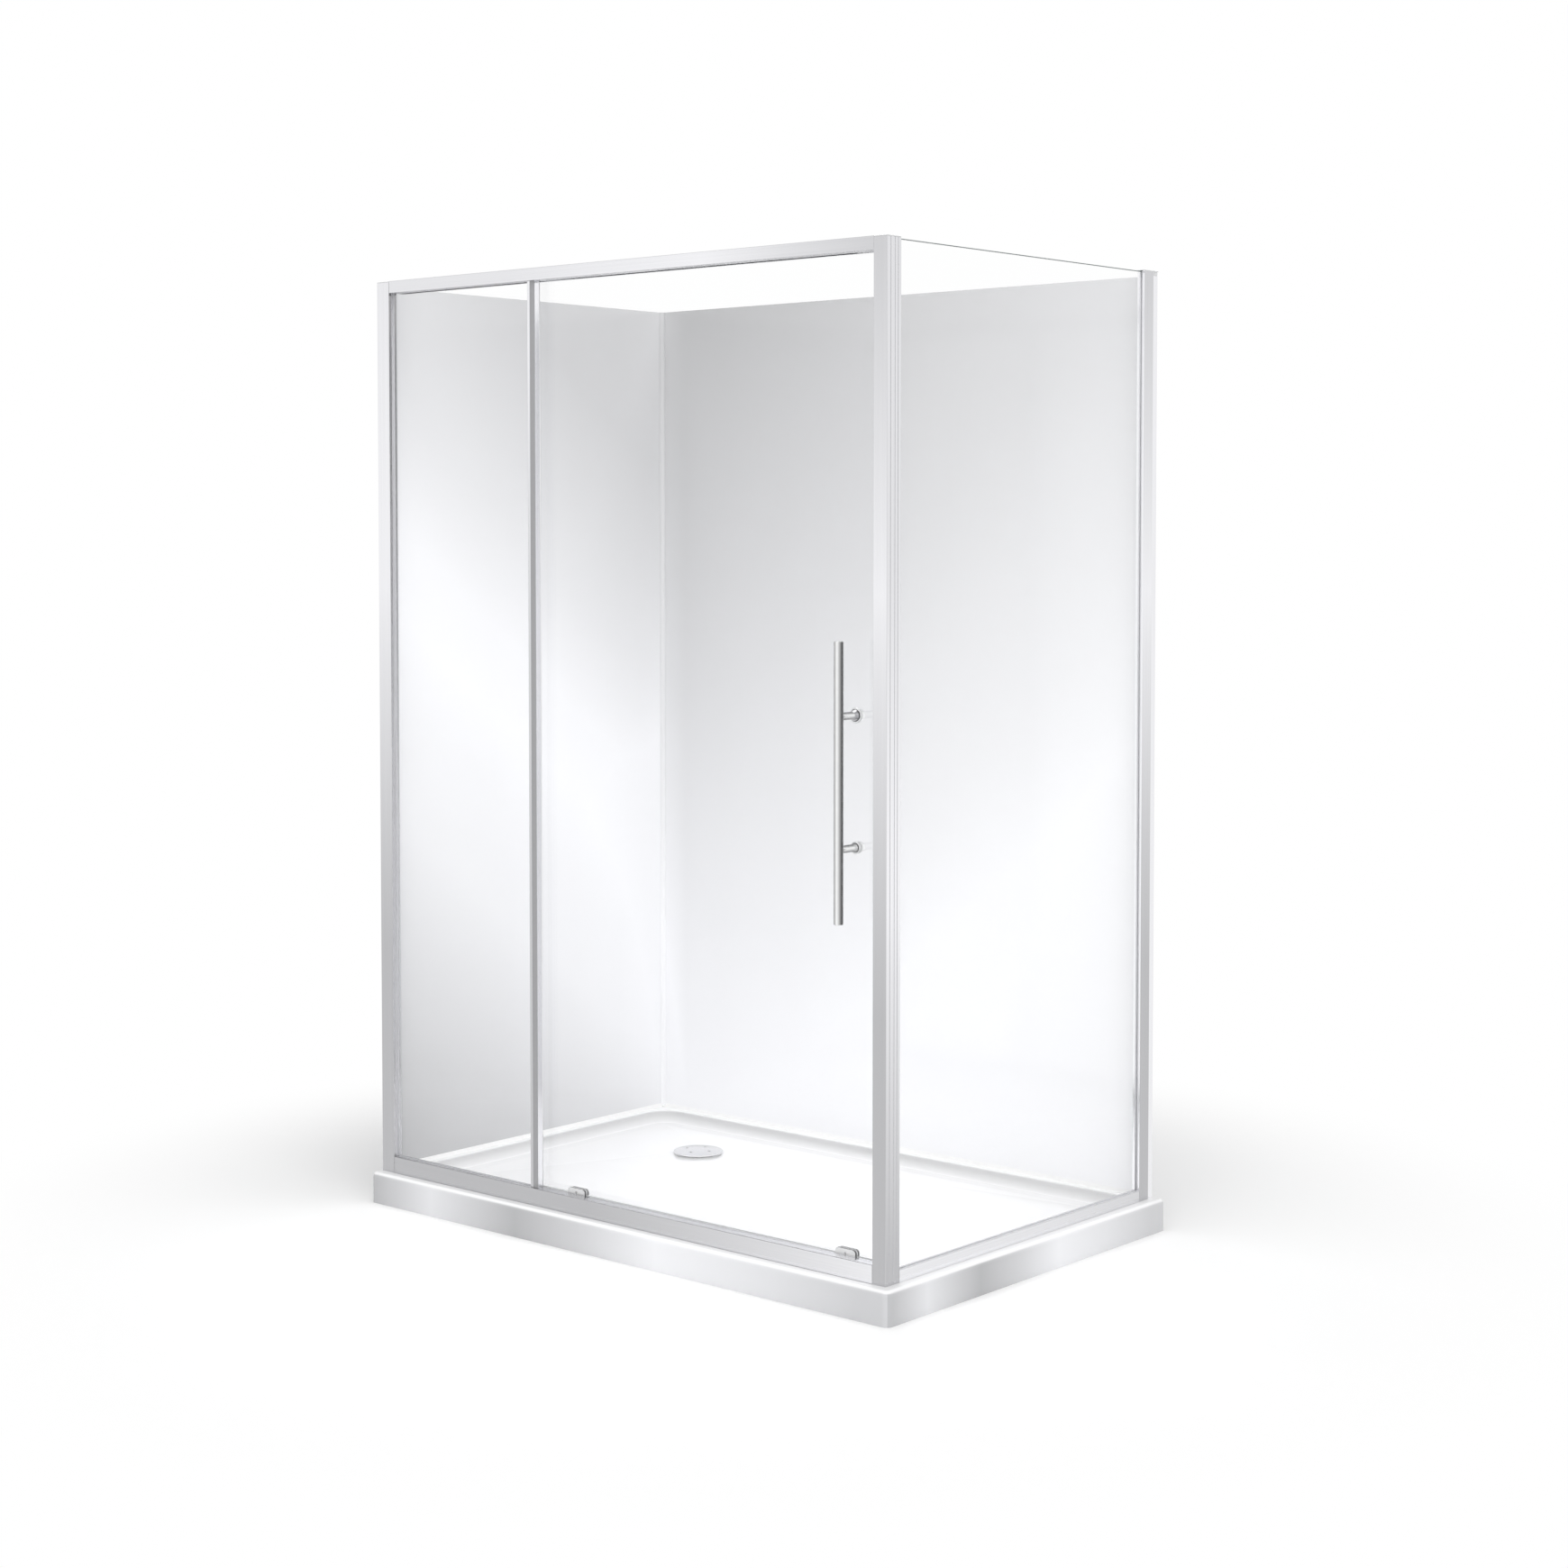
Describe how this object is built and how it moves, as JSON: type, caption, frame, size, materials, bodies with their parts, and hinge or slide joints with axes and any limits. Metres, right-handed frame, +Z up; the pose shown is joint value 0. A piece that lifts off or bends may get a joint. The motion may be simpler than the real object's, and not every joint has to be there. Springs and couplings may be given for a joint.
{
  "type": "shower enclosure with sliding door",
  "caption": "Corner shower enclosure: low tray, two wall liners, framed glass front with a sliding door on rollers, fixed panes, bar handle and waste.",
  "frame": {"origin": "centre of the tray's underside, on the floor", "axes": "+X along the sliding front from the left wall to the corner post, +Y from the front to the rear wall, +Z up"},
  "size_m": [1.4, 0.9045, 1.95],
  "materials": {
    "white_acrylic": "glossy white cast acrylic, moulded",
    "liner_acrylic": "glossy pale grey acrylic sheet",
    "frame_aluminium": "bright satin anodised extrusion",
    "frame_caps": "moulded, matched to the frame",
    "clear_glass": "clear toughened, polished edges",
    "chrome": "polished",
    "clear_seal": "translucent flexible PVC",
    "grey_gasket": "extruded",
    "white_silicone": "tooled bead",
    "foam_tape": "closed cell foam",
    "grey_insert": "extruded PVC",
    "white_nylon": "injection moulded",
    "roller_nylon": "turned smooth tread",
    "stainless": "plain",
    "timber": "planed softwood",
    "waste_plastic": "moulded polypropylene"
  },
  "bodies": {
    "root": {"back_liner": "liner_acrylic", "corner_post": "frame_aluminium", "corner_post_cap": "frame_caps", "fixed_glass": "clear_glass", "fixed_glass_gaskets": "clear_seal", "header_filler": "frame_aluminium", "header_rail": "frame_aluminium", "left_liner": "liner_acrylic", "left_post": "frame_aluminium", "left_post_cap": "frame_caps", "left_wall_channel": "frame_aluminium", "liner_corner_trim": "white_silicone", "liner_sealant": "white_silicone", "liner_tape": "foam_tape", "magnet_strip": "clear_seal", "mullion": "frame_aluminium", "mullion_insert": "grey_insert", "mullion_seal": "clear_seal", "open_stop": "grey_gasket", "post_screws": "stainless", "right_post": "frame_aluminium", "right_post_cap": "frame_caps", "right_wall_channel": "frame_aluminium", "setting_blocks": "grey_gasket", "shower_tray": "white_acrylic", "side_channel": "frame_aluminium", "side_glass": "clear_glass", "side_glass_gaskets": "clear_seal", "sill_filler": "frame_aluminium", "sill_rail": "frame_aluminium", "tray_bearers": "timber", "waste_cup": "waste_plastic", "waste_gasket": "grey_gasket", "waste_rim": "chrome"},
    "door": {"door_glass": "clear_glass", "door_leading_seal": "clear_seal", "door_trailing_profile": "frame_aluminium", "door_bottom_seal": "clear_seal", "left_carriage": "white_nylon", "right_carriage": "white_nylon", "wheel_axles": "stainless", "carriage_screws": "stainless", "left_top_guide": "white_nylon", "right_top_guide": "white_nylon", "guide_pins": "stainless", "handle_bar": "chrome", "handle_standoffs": "chrome", "handle_rosettes": "chrome", "handle_washers": "clear_seal", "handle_inside_caps": "chrome", "handle_screws": "stainless"},
    "bottom_wheel_1": {"bottom_wheel_1": "roller_nylon"},
    "bottom_wheel_2": {"bottom_wheel_2": "roller_nylon"},
    "bottom_wheel_3": {"bottom_wheel_3": "roller_nylon"},
    "bottom_wheel_4": {"bottom_wheel_4": "roller_nylon"},
    "left_guide_wheel": {"left_guide_wheel": "roller_nylon"},
    "right_guide_wheel": {"right_guide_wheel": "roller_nylon"},
    "waste_cover": {"waste_cover": "chrome"}
  },
  "joints": [
    {"name": "door_slide", "type": "slide", "parent": "root", "child": "door", "axis": [-1, 0, 0], "range_m": [0, 0.3935]},
    {"name": "bottom_wheel_1_roll", "type": "hinge", "parent": "door", "child": "bottom_wheel_1", "pos_m": [-0.151, -0.3915, 0.08055], "axis": [0, -1, 0], "continuous": true},
    {"name": "bottom_wheel_2_roll", "type": "hinge", "parent": "door", "child": "bottom_wheel_2", "pos_m": [-0.129, -0.3915, 0.08055], "axis": [0, -1, 0], "continuous": true},
    {"name": "bottom_wheel_3_roll", "type": "hinge", "parent": "door", "child": "bottom_wheel_3", "pos_m": [0.548, -0.3915, 0.08055], "axis": [0, -1, 0], "continuous": true},
    {"name": "bottom_wheel_4_roll", "type": "hinge", "parent": "door", "child": "bottom_wheel_4", "pos_m": [0.57, -0.3915, 0.08055], "axis": [0, -1, 0], "continuous": true},
    {"name": "left_guide_wheel_roll", "type": "hinge", "parent": "door", "child": "left_guide_wheel", "pos_m": [-0.22, -0.3915, 1.9386], "axis": [0, 0, 1], "continuous": true},
    {"name": "right_guide_wheel_roll", "type": "hinge", "parent": "door", "child": "right_guide_wheel", "pos_m": [0.5985, -0.3915, 1.9386], "axis": [0, 0, 1], "continuous": true},
    {"name": "waste_cover_lift", "type": "slide", "parent": "root", "child": "waste_cover", "axis": [0, 0, 1], "range_m": [0, 0.06]}
  ],
  "couplings": [
    {"joint": "bottom_wheel_1_roll", "follows": "door_slide", "rad_per_m": 133.33},
    {"joint": "bottom_wheel_2_roll", "follows": "door_slide", "rad_per_m": 133.33},
    {"joint": "bottom_wheel_3_roll", "follows": "door_slide", "rad_per_m": 133.33},
    {"joint": "bottom_wheel_4_roll", "follows": "door_slide", "rad_per_m": 133.33},
    {"joint": "left_guide_wheel_roll", "follows": "door_slide", "rad_per_m": 108.7},
    {"joint": "right_guide_wheel_roll", "follows": "door_slide", "rad_per_m": 108.7}
  ]
}
